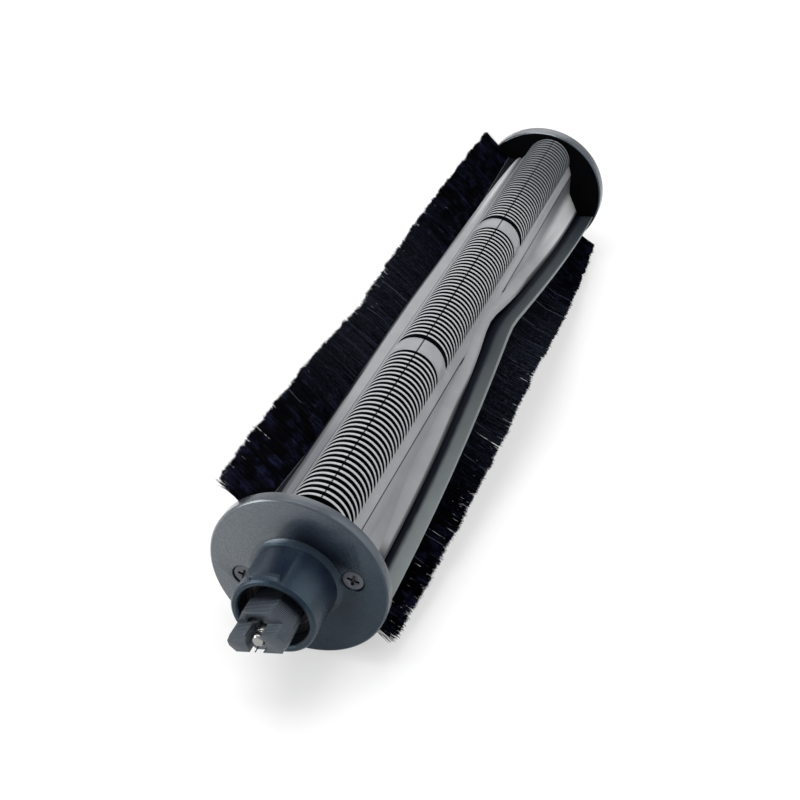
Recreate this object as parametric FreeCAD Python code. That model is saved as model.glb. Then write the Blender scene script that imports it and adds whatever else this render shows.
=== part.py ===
# Robot vacuum roller brush: a split ribbed core with a V groove on each flank, a rubber blade and
# a bristle curtain in each groove, a disc at each end and a turning bearing block at the idle end.
#
# Y runs along the roller from the idle end to the drive end and Z is up. The origin is on the axis
# at the middle of the overall length. The brush lies on its two discs, with the crown of its ribs
# leaning a little towards +X. One half of the core, with its strips, is made upright about X = 0
# and Y = 0. The other half is the same set turned half a turn about the axis.

import FreeCAD
import Part

import math
import os

from FreeCAD import Vector

# Driving dimensions of the whole brush, in millimetres and degrees
body_length = 174.0
disc_radius = 18.0
idle_disc_thickness = 2.7
drive_disc_thickness = 4.0
disc_edge_chamfer = 0.35
crown_lean = 12.2

# Ribbed spine
spine_crown_height = 17.1
spine_half_width = 6.2
spine_shoulder_height = 10.5
dome_flats = 4
rib_thickness = 0.65
rib_pitch = 1.63
rib_gap_apex = 13.2
band_width = 5.2
band_offset = 30.3

# Ledge under the ribs and the groove line below it
ledge_half_width = 7.5
ledge_height = 8.1
groove_height = 0.5
groove_depth = 0.6

# Flanks: a steep wall that ends in a lobe at each end, and a barrel on the bristle side
wall_foot_width = 8.6
wall_foot_height = 2.6
lobe_foot_depth = 2.7
rail_radius = 12.6
barrel_end_radius = 11.6
barrel_middle_radius = 12.7

# V groove and its lips
slot_width = 4.2
slot_end_depth = 3.1
slot_rise = 12.3
slot_floor = 8.2
apex_radius = 30.0
lip_thickness = 0.8

# Strip carrier, bristles and blade
strip_clearance = 0.15
strip_end_clearance = 0.3
carrier_base_thickness = 0.7
carrier_wall_thickness = 0.5
carrier_height = 3.2
bristle_thickness = 1.0
bristle_radius = 23.3
bristle_idle_clearance = 1.7
bristle_end_lean = 38.6
bristle_middle_lean = 27.5
blade_thickness = 0.75
blade_radius = 17.35
blade_end_lean = 18.4
blade_middle_lean = 28.0
blade_clearance = 0.05

# Inside of the core
channel_radius = 6.0
peg_radius = 1.2
peg_length = 2.4
peg_clearance = 0.1
peg_offset = 58.0
boss_radius = 2.4
boss_length = 4.8

# End caps
spigot_length = 8.0
spigot_clearance = 0.15
collar_radius = 8.4
collar_length = 11.0
collar_flare = 0.9
collar_edge_chamfer = 0.4
collar_bar_width = 5.4
collar_bar_length = 1.2
collar_bar_height = 0.45
collar_bar_angle = -8.0
drive_peg_width = 8.0
drive_peg_length = 9.0
drive_peg_chamfer = 0.8

# Cap screws
idle_screw_side_offset = 10.3
idle_screw_height_offset = 4.95
drive_screw_side_offset = 9.0
drive_screw_height_offset = -0.5
screw_shank_radius = 1.1
screw_head_radius = 2.1
screw_head_height = 1.1
screw_length = 7.0
screw_sink = 0.2
screw_clearance = 0.15
screw_thread_clearance = 0.02
screw_cross_width = 0.55
screw_cross_depth = 0.7

# Ball bearing, in the collar
bearing_outer_radius = 6.5
bearing_bore_radius = 2.5
bearing_width = 4.0
bearing_depth = 6.4
bearing_land_inner = 3.6
bearing_land_outer = 5.35
bearing_fit = 0.02
ball_count = 7
ball_radius = 1.0
ball_clearance = 0.04
cage_thickness = 0.6
cage_width = 3.0
shield_thickness = 0.25
shield_gap = 0.15
shield_seat_depth = 0.3
shield_seat_width = 0.25

# Retaining ring in the collar's mouth
mouth_radius = 6.9
ring_thickness = 0.8
ring_width = 1.3
ring_groove_depth = 0.35
ring_clearance = 0.08
ring_opening = 50.0

# Bearing block with its pin, washer and clip
block_half_width = 5.7
block_half_height = 4.35
block_flat_half_width = 3.0
block_side_half_height = 0.56
block_nose_length = 14.6
block_tongue_length = 17.95
block_tongue_half_height = 1.97
block_roll = -15.6
block_hole_radius = 2.1
block_slot_width = 3.1
block_slit_width = 1.0
block_slit_offset = 1.45
block_arch_radius = 2.0
block_arch_offset = 0.9
block_arch_height = 1.3
block_arch_depth = 1.0
block_boss_radius = 3.3
block_running_gap = 0.4
block_neck_share = 0.93
block_neck_inset = 0.2
pin_radius = 1.3
pin_fit = 0.01
pin_front_length = 17.4
pin_front_chamfer = 0.35
pin_head_length = 1.0
pin_head_groove = 0.8
pin_groove_depth = 0.3
washer_radius = 3.4
washer_thickness = 0.4
clip_radius = 2.3
clip_thickness = 0.4
clip_opening = 1.3
pin_tail = 0.7
cavity_radius = 4.5
cavity_clearance = 0.8

# Places along the axis that several pieces share, measured from mid length of the core
body_end = body_length / 2
idle_inner_face = -body_end
idle_outer_face = idle_inner_face - idle_disc_thickness
mouth_rim = idle_outer_face - collar_length
bearing_front = idle_outer_face - bearing_depth
bearing_back = bearing_front + bearing_width
bearing_middle = (bearing_front + bearing_back) / 2
block_step = idle_outer_face - block_nose_length
block_tip = idle_outer_face - block_tongue_length
drive_inner_face = body_end
drive_outer_face = drive_inner_face + drive_disc_thickness
drive_tip = drive_outer_face + drive_peg_length
origin_shift = -(block_tip + drive_tip) / 2

AXIS = Vector(0, 1, 0)
OUTSIDE = 60.0


# Basic shapes. Section points are (x, z), turned profiles are (radius, y).

def face_at(points, y):
    corners = [Vector(x, y, z) for x, z in points]
    return Part.Face(Part.makePolygon(corners + corners[:1]))


def prism(points, start, end):
    return face_at(points, start).extrude(Vector(0, end - start, 0))


def turned(points):
    corners = [Vector(radius, y, 0) for radius, y in points]
    face = Part.Face(Part.makePolygon(corners + corners[:1]))
    return face.revolve(Vector(0, 0, 0), AXIS, 360)


def rod(radius, start, end, x=0.0, z=0.0):
    return Part.makeCylinder(radius, end - start, Vector(x, start, z), AXIS)


def block(low, high):
    size = Vector(*high) - Vector(*low)
    return Part.makeBox(size.x, size.y, size.z, Vector(*low))


def fused(shapes):
    return shapes[0].fuse(shapes[1:]).removeSplitter()


def rolled(shape, degrees):
    turned_shape = shape.copy()
    turned_shape.rotate(Vector(0, 0, 0), AXIS, degrees)
    return turned_shape


# The V that groove, lips, carrier, blade and bristles all follow. They run in straight lines from
# both ends up to a rounded apex at mid length.

def rise_at(y):
    return slot_rise * (1 - abs(y) / body_end)


def v_stations(half_length):
    slope = math.atan2(slot_rise, body_end)
    tangent_length = apex_radius * math.tan(slope)
    tangent_y = tangent_length * math.cos(slope)
    apex_drop = apex_radius * (1 / math.cos(slope) - 1)
    near_side = [(-half_length, rise_at(half_length)), (-tangent_y, rise_at(tangent_y))]
    far_side = [(tangent_y, rise_at(tangent_y)), (half_length, rise_at(half_length))]
    return near_side + [(0.0, slot_rise - apex_drop)] + far_side


def groove_floor_edge(rise):
    """Height of the groove's lower edge where the V has risen by this much."""
    return rise - slot_end_depth - slot_width


def along_v(section, half_length):
    """Sweep a section of (x, height above the groove's lower edge) along the V."""
    stations = v_stations(half_length)
    stretches = []
    for (start, start_rise), (end, end_rise) in zip(stations, stations[1:]):
        base = groove_floor_edge(start_rise)
        face = face_at([(x, base + height) for x, height in section], start)
        stretches.append(face.extrude(Vector(0, end - start, end_rise - start_rise)))
    return fused(stretches)


def sheet_along_v(section_at, half_length):
    """Sweep a thin sheet along the V. Its section changes with the share of the full rise."""
    wires = []
    for y, rise in v_stations(half_length):
        base = groove_floor_edge(rise)
        section = section_at(rise / slot_rise)
        corners = [Vector(x, y, base + height) for x, height in section]
        wires.append(Part.makePolygon(corners + corners[:1]))
    return Part.makeLoft(wires, True, True)


# Core half

def dome_points():
    """Quarter of the ribs' oval outline, from the parting plane down to the ledge."""
    height = spine_crown_height - spine_shoulder_height
    steps = [math.pi / 2 * (1 - step / dome_flats) for step in range(dome_flats + 1)]
    return [
        (spine_half_width * math.cos(angle), spine_shoulder_height + height * math.sin(angle))
        for angle in steps
    ]


def spine_section():
    """Half section of both spines with their ledges, groove lines and the wall between them."""
    ledge = [
        (ledge_half_width, ledge_height),
        (ledge_half_width - groove_depth, ledge_height),
        (ledge_half_width - groove_depth, ledge_height - groove_height),
    ]
    upper = dome_points() + ledge
    wall_top = (ledge_half_width, ledge_height - groove_height)
    wall_foot = (wall_foot_width, wall_foot_height)
    lower = [(x, -z) for x, z in reversed(upper)]
    return upper + [wall_top, wall_foot] + lower


def rib_runs():
    band_half = band_width / 2
    return [
        (-body_end, -band_offset - band_half),
        (-band_offset + band_half, band_offset - band_half),
        (band_offset + band_half, body_end),
    ]


def rib_gaps(start, end):
    """Gaps of one run. Ribs are counted back from its far end and the first gap takes the rest."""
    rib_gap = rib_pitch - rib_thickness
    count = int((end - start - rib_gap) / rib_pitch)
    gaps = [(start, end - rib_gap - count * rib_pitch + rib_pitch - rib_thickness)]
    for number in range(count - 1, -1, -1):
        far_edge = end - rib_gap - number * rib_pitch
        gaps.append((far_edge, far_edge + rib_gap))
    return gaps


def rib_comb():
    """One tool that cuts every gap between the ribs, its floor falling from apex to shoulder."""
    clear_height = spine_crown_height + 1.0
    floor_fall = (rib_gap_apex - spine_shoulder_height) / spine_half_width
    overlap = 0.5
    outline = [(-body_end, clear_height + 1.0), (-body_end, clear_height)]
    for start, end in rib_runs():
        for near, far in rib_gaps(start, end):
            teeth = [(near, clear_height), (near, rib_gap_apex), (far, rib_gap_apex), (far, clear_height)]
            outline.extend(point for point in teeth if point != outline[-1])
    outline.append((body_end, clear_height + 1.0))
    corners = [Vector(-overlap, y, z + overlap * floor_fall) for y, z in outline]
    face = Part.Face(Part.makePolygon(corners + corners[:1]))
    reach = spine_half_width + 2 * overlap
    return face.extrude(Vector(reach, 0, -reach * floor_fall))


def blade_flank():
    """Lobe above the groove at each end, and the thin lip along the groove's upper edge."""
    lobe = [
        (slot_floor - lip_thickness, wall_foot_height + lip_thickness),
        (wall_foot_width, wall_foot_height),
        (rail_radius, -lobe_foot_depth),
        (rail_radius, -rail_radius),
        (slot_floor - lip_thickness, -rail_radius),
    ]
    below_edge = [(0, -OUTSIDE), (OUTSIDE, -OUTSIDE), (OUTSIDE, slot_width), (0, slot_width)]
    lip_top = slot_width + lip_thickness
    root = slot_floor - 3 * lip_thickness
    lip = [(root, slot_width), (OUTSIDE, slot_width), (OUTSIDE, lip_top), (root, lip_top)]
    lobes = prism(lobe, -body_end, body_end).cut(along_v(below_edge, body_end + 1.0))
    flank = fused([lobes, along_v(lip, body_end)])
    return flank.common(rod(rail_radius, -body_end, body_end))


def bristle_flank():
    """Barrel-shaped flank between the groove and the other spine, with its lip."""
    barrel = turned([
        (0, -body_end),
        (barrel_end_radius, -body_end),
        (barrel_middle_radius, 0),
        (barrel_end_radius, body_end),
        (0, body_end),
    ])
    bottom = -(ledge_height - groove_height)
    side = [(0, bottom), (OUTSIDE, bottom), (OUTSIDE, OUTSIDE), (0, OUTSIDE)]
    above_edge = [(-1, 0), (OUTSIDE, 0), (OUTSIDE, OUTSIDE), (-1, OUTSIDE)]
    root = slot_floor - 3 * lip_thickness
    lip = [(root, -lip_thickness), (OUTSIDE, -lip_thickness), (OUTSIDE, 0), (root, 0)]
    flank = prism(side, -body_end, body_end).cut(along_v(above_edge, body_end + 1.0))
    return fused([flank, along_v(lip, body_end)]).common(barrel)


def groove_bed():
    """Solid ground under the whole groove and its lips."""
    low, high = -lip_thickness, slot_width + lip_thickness
    root = slot_floor - 3 * lip_thickness
    return along_v([(root, low), (slot_floor, low), (slot_floor, high), (root, high)], body_end)


def groove_tool():
    low, high = 0.0, slot_width
    return along_v([(slot_floor, low), (OUTSIDE, low), (OUTSIDE, high), (slot_floor, high)], body_end + 1.0)


def screw_boss():
    """Boss for the idle end's screw. At the drive end the screw enters the lobe."""
    side, height = idle_screw_side_offset, idle_screw_height_offset
    web = [
        (channel_radius, height - boss_radius),
        (side, height - boss_radius),
        (side, height + boss_radius),
        (channel_radius, height + boss_radius),
    ]
    end = boss_length - body_end
    return [prism(web, -body_end, end), rod(boss_radius, -body_end, end, side, height)]


def screw_holes():
    radius = screw_shank_radius + screw_thread_clearance
    idle_side, idle_height = idle_screw_side_offset, idle_screw_height_offset
    drive_side, drive_height = drive_screw_side_offset, drive_screw_height_offset
    return [
        rod(radius, -body_end - 1.0, screw_length - body_end, idle_side, idle_height),
        rod(radius, body_end - screw_length, body_end + 1.0, drive_side, drive_height),
    ]


def parting_pegs(radius, length, height):
    return [
        Part.makeCylinder(radius, length, Vector(-length, y, height), Vector(1, 0, 0))
        for y in (-peg_offset, peg_offset)
    ]


def core_half():
    spines = prism(spine_section(), -body_end, body_end)
    comb = rib_comb()
    peg_height = (channel_radius + rib_gap_apex) / 2
    body = fused([spines, groove_bed(), blade_flank(), bristle_flank()] + screw_boss())
    lower_comb = comb.mirror(Vector(0, 0, 0), Vector(0, 0, 1))
    channel = rod(channel_radius, -body_end - 1.0, body_end + 1.0)
    cuts = [groove_tool(), channel, comb, lower_comb] + screw_holes()
    sockets = parting_pegs(peg_radius + peg_clearance, peg_length + peg_clearance, -peg_height)
    cuts.extend(socket.mirror(Vector(0, 0, 0), Vector(1, 0, 0)) for socket in sockets)
    body = body.cut(cuts)
    return fused([body] + parting_pegs(peg_radius, peg_length, peg_height))


# Strips. Heights are above the groove's lower edge.

carrier_top = slot_floor + carrier_height
bristle_low = strip_clearance + carrier_wall_thickness
bristle_high = bristle_low + bristle_thickness
carrier_seat = slot_floor + carrier_base_thickness
blade_root_low = bristle_high + carrier_wall_thickness / 2
strip_half_length = body_end - strip_end_clearance


def strip_carrier():
    """Flat foot, a wall below the bristles and a sloped wall between bristles and blade."""
    slope = math.tan(math.radians(blade_end_lean))
    wall_high = blade_root_low + (carrier_top - carrier_seat) * slope
    section = [
        (slot_floor, strip_clearance),
        (carrier_top, strip_clearance),
        (carrier_top, bristle_low),
        (carrier_seat, bristle_low),
        (carrier_seat, bristle_high),
        (carrier_top, bristle_high),
        (carrier_top, wall_high),
        (carrier_seat, blade_root_low),
        (carrier_seat, slot_width - strip_clearance),
        (slot_floor, slot_width - strip_clearance),
    ]
    return along_v(section, strip_half_length)


def leaning(start, degrees, length):
    angle = math.radians(degrees)
    return start[0] + length * math.cos(angle), start[1] + length * math.sin(angle)


def bristle_strip():
    """Curtain that stands straight in the carrier, leans away from the blade and is trimmed round."""
    def section_at(share):
        lean = -(bristle_end_lean + (bristle_middle_lean - bristle_end_lean) * share)
        low = (carrier_top, bristle_low)
        high = (carrier_top, bristle_high)
        return [
            (carrier_seat, bristle_low),
            low,
            leaning(low, lean, bristle_radius),
            leaning(high, lean, bristle_radius),
            high,
            (carrier_seat, bristle_high),
        ]
    trim = rod(bristle_radius, bristle_idle_clearance - body_end, body_end)
    return sheet_along_v(section_at, strip_half_length).common(trim)


def rubber_blade():
    """Wiper that stands on the carrier's foot, against the sloped wall."""
    def section_at(share):
        lean = blade_end_lean + (blade_middle_lean - blade_end_lean) * share
        low = (carrier_seat, blade_root_low + blade_clearance)
        high = (carrier_seat, low[1] + blade_thickness)
        return [low, leaning(low, lean, blade_radius), leaning(high, lean, blade_radius), high]
    trim = rod(blade_radius, -body_end - 1.0, body_end + 1.0)
    return sheet_along_v(section_at, strip_half_length).common(trim)


# End caps and their screws

def cap_screw():
    """Countersunk screw with its head's face at y = 0 and its point towards +Y."""
    tip = screw_shank_radius / 2
    profile = [
        (0, 0),
        (screw_head_radius, 0),
        (screw_shank_radius, screw_head_height),
        (screw_shank_radius, screw_length - screw_shank_radius),
        (tip, screw_length),
        (0, screw_length),
    ]
    arm = screw_head_radius * 0.6
    half = screw_cross_width / 2
    cross = [
        block((-arm, -1.0, -half), (arm, screw_cross_depth, half)),
        block((-half, -1.0, -arm), (half, screw_cross_depth, arm)),
    ]
    return turned(profile).cut(cross)


def screw_seat():
    """Hole and countersink that take a cap screw, head face at y = 0 towards -Y."""
    head = screw_head_radius + screw_clearance
    shank = screw_shank_radius + screw_clearance
    return turned([
        (0, -1.0),
        (head, -1.0),
        (head, 0),
        (shank, screw_head_height),
        (shank, screw_length),
        (0, screw_length),
    ])


def at_screws(shape, face, towards_drive):
    """Copies of a screw or its seat, sunk into a disc's outer face."""
    x, z = idle_screw_side_offset, idle_screw_height_offset
    if towards_drive:
        x, z = drive_screw_side_offset, drive_screw_height_offset
    placed = []
    for side in (1, -1):
        copy = shape.copy()
        if towards_drive:
            copy.rotate(Vector(0, 0, 0), Vector(0, 0, 1), 180)
        sink = -screw_sink if towards_drive else screw_sink
        copy.translate(Vector(side * x, face + sink, side * z))
        placed.append(copy)
    return placed


def idle_end_cap():
    seat_radius = bearing_outer_radius + bearing_fit
    groove_radius = mouth_radius + ring_groove_depth
    ring_front = bearing_front - ring_thickness - ring_clearance
    cavity_end = bearing_back + washer_thickness + clip_thickness + pin_tail + cavity_clearance
    spigot_radius = channel_radius - spigot_clearance
    profile = [
        (0, idle_inner_face + spigot_length),
        (spigot_radius - disc_edge_chamfer, idle_inner_face + spigot_length),
        (spigot_radius, idle_inner_face + spigot_length - disc_edge_chamfer),
        (spigot_radius, idle_inner_face),
        (disc_radius - disc_edge_chamfer, idle_inner_face),
        (disc_radius, idle_inner_face - disc_edge_chamfer),
        (disc_radius, idle_outer_face + disc_edge_chamfer),
        (disc_radius - disc_edge_chamfer, idle_outer_face),
        (collar_radius + collar_flare, idle_outer_face),
        (collar_radius, idle_outer_face - collar_flare),
        (collar_radius, mouth_rim + collar_edge_chamfer),
        (collar_radius - collar_edge_chamfer, mouth_rim),
        (mouth_radius + collar_edge_chamfer, mouth_rim),
        (mouth_radius, mouth_rim + collar_edge_chamfer),
        (mouth_radius, ring_front),
        (groove_radius, ring_front),
        (groove_radius, bearing_front),
        (seat_radius, bearing_front),
        (seat_radius, bearing_back),
        (cavity_radius, bearing_back),
        (cavity_radius, cavity_end),
        (0, cavity_end),
    ]
    half = collar_bar_width / 2
    outer = collar_radius + collar_bar_height
    bar = block((-half, mouth_rim + collar_edge_chamfer, collar_radius * 0.9),
                (half, mouth_rim + collar_edge_chamfer + collar_bar_length, outer))
    bar = rolled(bar.common(rod(outer, mouth_rim, idle_outer_face)), collar_bar_angle - crown_lean)
    cap = fused([turned(profile), bar])
    return cap.cut(at_screws(screw_seat(), idle_outer_face, False))


def square_with_cut_corners(half):
    cut = half - drive_peg_chamfer
    right = [(cut, -half), (half, -cut), (half, cut), (cut, half)]
    return right + [(-x, -z) for x, z in right]


def drive_end_cap():
    """Far disc with its spigot and a square drive peg with cut corners and a tapered nose."""
    spigot_radius = channel_radius - spigot_clearance
    profile = [
        (0, drive_inner_face - spigot_length),
        (spigot_radius - disc_edge_chamfer, drive_inner_face - spigot_length),
        (spigot_radius, drive_inner_face - spigot_length + disc_edge_chamfer),
        (spigot_radius, drive_inner_face),
        (disc_radius - disc_edge_chamfer, drive_inner_face),
        (disc_radius, drive_inner_face + disc_edge_chamfer),
        (disc_radius, drive_outer_face - disc_edge_chamfer),
        (disc_radius - disc_edge_chamfer, drive_outer_face),
        (0, drive_outer_face),
    ]
    half = drive_peg_width / 2
    nose_start = drive_tip - drive_peg_chamfer
    shank = prism(square_with_cut_corners(half), drive_outer_face - disc_edge_chamfer, nose_start)
    wires = [
        face_at(square_with_cut_corners(size), y).OuterWire
        for size, y in ((half, nose_start), (half - drive_peg_chamfer, drive_tip))
    ]
    cap = fused([turned(profile), shank, Part.makeLoft(wires, True, True)])
    return cap.cut(at_screws(screw_seat(), drive_outer_face, True))


def cap_screws(face, towards_drive):
    return Part.makeCompound(at_screws(cap_screw(), face, towards_drive))


# Ball bearing

ball_track_radius = (bearing_land_inner + bearing_land_outer) / 2
shield_outer = bearing_land_outer + shield_seat_width


def ball_track():
    return Part.makeTorus(
        ball_track_radius, ball_radius + ball_clearance, Vector(0, bearing_middle, 0), AXIS
    )


def bearing_outer_ring():
    seat = shield_seat_depth
    ring = turned([
        (bearing_outer_radius, bearing_front),
        (bearing_outer_radius, bearing_back),
        (shield_outer, bearing_back),
        (shield_outer, bearing_back - seat),
        (bearing_land_outer, bearing_back - seat),
        (bearing_land_outer, bearing_front + seat),
        (shield_outer, bearing_front + seat),
        (shield_outer, bearing_front),
    ])
    return ring.cut(ball_track())


def bearing_inner_ring():
    ring = turned([
        (bearing_bore_radius, bearing_front),
        (bearing_bore_radius, bearing_back),
        (bearing_land_inner, bearing_back),
        (bearing_land_inner, bearing_front),
    ])
    return ring.cut(ball_track())


def bearing_balls(radius):
    balls = []
    for number in range(ball_count):
        angle = 2 * math.pi * number / ball_count
        x, z = ball_track_radius * math.sin(angle), ball_track_radius * math.cos(angle)
        balls.append(Part.makeSphere(radius, Vector(x, bearing_middle, z)))
    return balls


def bearing_cage():
    """Ring with a window for each ball."""
    inner = ball_track_radius - cage_thickness / 2
    outer = ball_track_radius + cage_thickness / 2
    start, end = bearing_middle - cage_width / 2, bearing_middle + cage_width / 2
    ring = turned([(inner, start), (outer, start), (outer, end), (inner, end)])
    half = ball_radius + ball_clearance
    window = block((-half, bearing_middle - half, 0), (half, bearing_middle + half, bearing_outer_radius))
    return ring.cut([rolled(window, 360 * number / ball_count) for number in range(ball_count)])


def bearing_shields():
    inner = bearing_land_inner + shield_gap
    outer = shield_outer - bearing_fit
    shields = []
    for start in (bearing_front + shield_seat_depth, bearing_back - shield_seat_depth):
        end = start - shield_thickness if start < bearing_middle else start + shield_thickness
        shields.append(turned([(inner, start), (outer, start), (outer, end), (inner, end)]))
    return Part.makeCompound(shields)


def bearing_retaining_ring():
    """Snap ring with an opening, sprung into the collar's groove in front of the bearing."""
    outer = mouth_radius + ring_groove_depth - ring_clearance
    inner = outer - ring_width
    start = bearing_front - ring_thickness
    ring = turned([(inner, start), (outer, start), (outer, bearing_front), (inner, bearing_front)])
    reach = 2 * outer * math.tan(math.radians(ring_opening / 2))
    opening = [(0, 0), (reach, 2 * outer), (-reach, 2 * outer)]
    return ring.cut(prism(opening, start - 1.0, bearing_front + 1.0))


# Bearing block and what turns with it

def block_outline(share=1.0):
    """Flattened hexagon with blunted side corners, at full size or a share of it."""
    corners = [(block_flat_half_width, block_half_height), (block_half_width, block_side_half_height)]
    quarter = [(x * share, z * share) for x, z in corners]
    right = quarter + [(x, -z) for x, z in reversed(quarter)]
    return right + [(-x, -z) for x, z in right]


def idle_bearing_block():
    """Body with a thinner nose, a neck that clears the collar's mouth, and a stem for the bearing."""
    back = bearing_front - ring_thickness - block_running_gap
    neck = mouth_rim + block_neck_inset
    stem_radius = bearing_bore_radius - bearing_fit
    nose_slab = block(
        (-OUTSIDE, block_tip, -block_tongue_half_height),
        (OUTSIDE, block_step, block_tongue_half_height),
    )
    body = fused([
        prism(block_outline(), block_step, neck),
        prism(block_outline(block_neck_share), neck, back),
        prism(block_outline(), block_tip, block_step).common(nose_slab),
        rod(block_boss_radius, back, bearing_front),
        rod(stem_radius, bearing_front, bearing_back),
    ])
    half_slot = block_slot_width / 2
    slit_start = -block_slit_offset - block_slit_width / 2
    slit_end = slit_start + block_slit_width
    arch = rod(
        block_arch_radius, block_step, block_step + block_arch_depth,
        -block_arch_offset, block_arch_height,
    )
    above_nose = block((-OUTSIDE, block_step, block_tongue_half_height), (OUTSIDE, back, OUTSIDE))
    return body.cut([
        rod(block_hole_radius, block_tip - 1.0, block_step + block_arch_depth),
        block((-half_slot, block_tip - 1.0, 0), (half_slot, block_step, OUTSIDE)),
        block((slit_start, block_tip - 1.0, -OUTSIDE), (slit_end, block_step, 0)),
        arch.common(above_nose),
        rod(pin_radius + pin_fit, block_tip - 1.0, bearing_back + 1.0),
    ])


def axle_pin():
    pin_front = idle_outer_face - pin_front_length
    head_end = pin_front + pin_head_length
    groove_start = bearing_back + washer_thickness
    groove_end = groove_start + clip_thickness
    pin_end = groove_end + pin_tail
    neck = pin_radius - pin_groove_depth
    chamfer = pin_groove_depth / 2
    return turned([
        (0, pin_front),
        (pin_radius - pin_front_chamfer, pin_front),
        (pin_radius, pin_front + pin_front_chamfer),
        (pin_radius, head_end),
        (neck, head_end),
        (neck, head_end + pin_head_groove),
        (pin_radius, head_end + pin_head_groove),
        (pin_radius, groove_start),
        (neck, groove_start),
        (neck, groove_end),
        (pin_radius, groove_end),
        (pin_radius - chamfer, pin_end),
        (0, pin_end),
    ])


def axle_washer():
    inner = pin_radius + 2 * pin_fit
    end = bearing_back + washer_thickness
    return turned([(inner, bearing_back), (washer_radius, bearing_back), (washer_radius, end), (inner, end)])


def axle_clip():
    """Open clip that grips the pin's groove behind the washer."""
    inner = pin_radius - pin_groove_depth + pin_fit
    start = bearing_back + washer_thickness
    end = start + clip_thickness
    ring = turned([(inner, start), (clip_radius, start), (clip_radius, end), (inner, end)])
    half = clip_opening / 2
    return ring.cut(block((-half, start - 1.0, -OUTSIDE), (half, end + 1.0, 0)))


# Assembly

half_set = {
    "core_half": core_half(),
    "strip_carrier": strip_carrier(),
    "rubber_blade": rubber_blade(),
    "bristle_strip": bristle_strip(),
}

roller_pieces = {
    "idle_end_cap": idle_end_cap(),
    "idle_cap_screws": cap_screws(idle_outer_face, False),
    "drive_end_cap": drive_end_cap(),
    "drive_cap_screws": cap_screws(drive_outer_face, True),
}
for name, shape in half_set.items():
    roller_pieces[name + "_right"] = shape
    roller_pieces[name + "_left"] = rolled(shape, 180)

bearing_pieces = {
    "bearing_outer_ring": bearing_outer_ring(),
    "bearing_inner_ring": bearing_inner_ring(),
    "bearing_balls": Part.makeCompound(bearing_balls(ball_radius)),
    "bearing_cage": bearing_cage(),
    "bearing_shields": bearing_shields(),
    "bearing_retaining_ring": bearing_retaining_ring(),
    "axle_pin": axle_pin(),
    "axle_washer": axle_washer(),
    "axle_clip": axle_clip(),
}

pieces = {name: rolled(shape, crown_lean) for name, shape in roller_pieces.items()}
pieces.update(bearing_pieces)
pieces["idle_bearing_block"] = rolled(idle_bearing_block(), block_roll)

os.makedirs("parts", exist_ok=True)
for name, shape in pieces.items():
    shape.translate(Vector(0, origin_shift, 0))
    shape.exportStep(os.path.join("parts", name + ".step"))
    print(name, "solids", len(shape.Solids), "valid", shape.isValid(), "volume", round(shape.Volume, 2))
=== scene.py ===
import math

import bpy
import numpy as np
from mathutils import Matrix, Vector


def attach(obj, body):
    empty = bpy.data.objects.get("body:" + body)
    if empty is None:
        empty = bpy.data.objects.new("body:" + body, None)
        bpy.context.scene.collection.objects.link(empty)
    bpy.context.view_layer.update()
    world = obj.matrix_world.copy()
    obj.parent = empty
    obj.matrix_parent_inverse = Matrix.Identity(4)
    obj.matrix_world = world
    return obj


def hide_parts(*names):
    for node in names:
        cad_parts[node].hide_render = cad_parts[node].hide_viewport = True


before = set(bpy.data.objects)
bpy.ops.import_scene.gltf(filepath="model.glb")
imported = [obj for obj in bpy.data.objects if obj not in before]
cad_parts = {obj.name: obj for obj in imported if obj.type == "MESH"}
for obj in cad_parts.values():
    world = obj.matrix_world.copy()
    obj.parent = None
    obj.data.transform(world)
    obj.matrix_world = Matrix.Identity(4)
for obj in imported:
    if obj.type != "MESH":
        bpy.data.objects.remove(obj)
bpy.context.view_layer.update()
scene = bpy.context.scene


# View, floor and light
# The brush lies on a white table in a light tent, seen from its idle end and from above. The
# camera's place was fitted to the outlines of the two end discs.

camera_place = (0.07803, -0.246615, 0.16193)
camera_forward = (-0.2789, 0.7761, -0.5656)
camera_right = (0.9411, 0.3381, 0.0)
camera_lens = 57.81
camera_sensor = 36.0
camera_clip = 0.01
floor_height = -0.018
floor_size = 4.0
table_grey = (0.90, 0.90, 0.90, 1.0)
table_roughness = 0.9
table_specular = 0.1
table_white_share = 0.53
table_lit_reach = 0.30
table_white_reach = 0.80
table_glossy_share = 0.1
tent_light = 0.34
tent_glossy_share = 0.5
white = (1.0, 1.0, 1.0, 1.0)

bpy.ops.object.select_all(action="DESELECT")
bpy.ops.object.camera_add(location=camera_place)
camera = bpy.context.object
camera.name = "photo_camera"
backward = -Vector(camera_forward).normalized()
rightward = Vector(camera_right).normalized()
upward = backward.cross(rightward)
camera.rotation_euler = Matrix((rightward, upward, backward)).transposed().to_euler()
camera.data.sensor_width = camera_sensor
camera.data.lens = camera_lens
camera.data.clip_start = camera_clip
scene.camera = camera
scene.view_settings.view_transform = "Standard"


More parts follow.
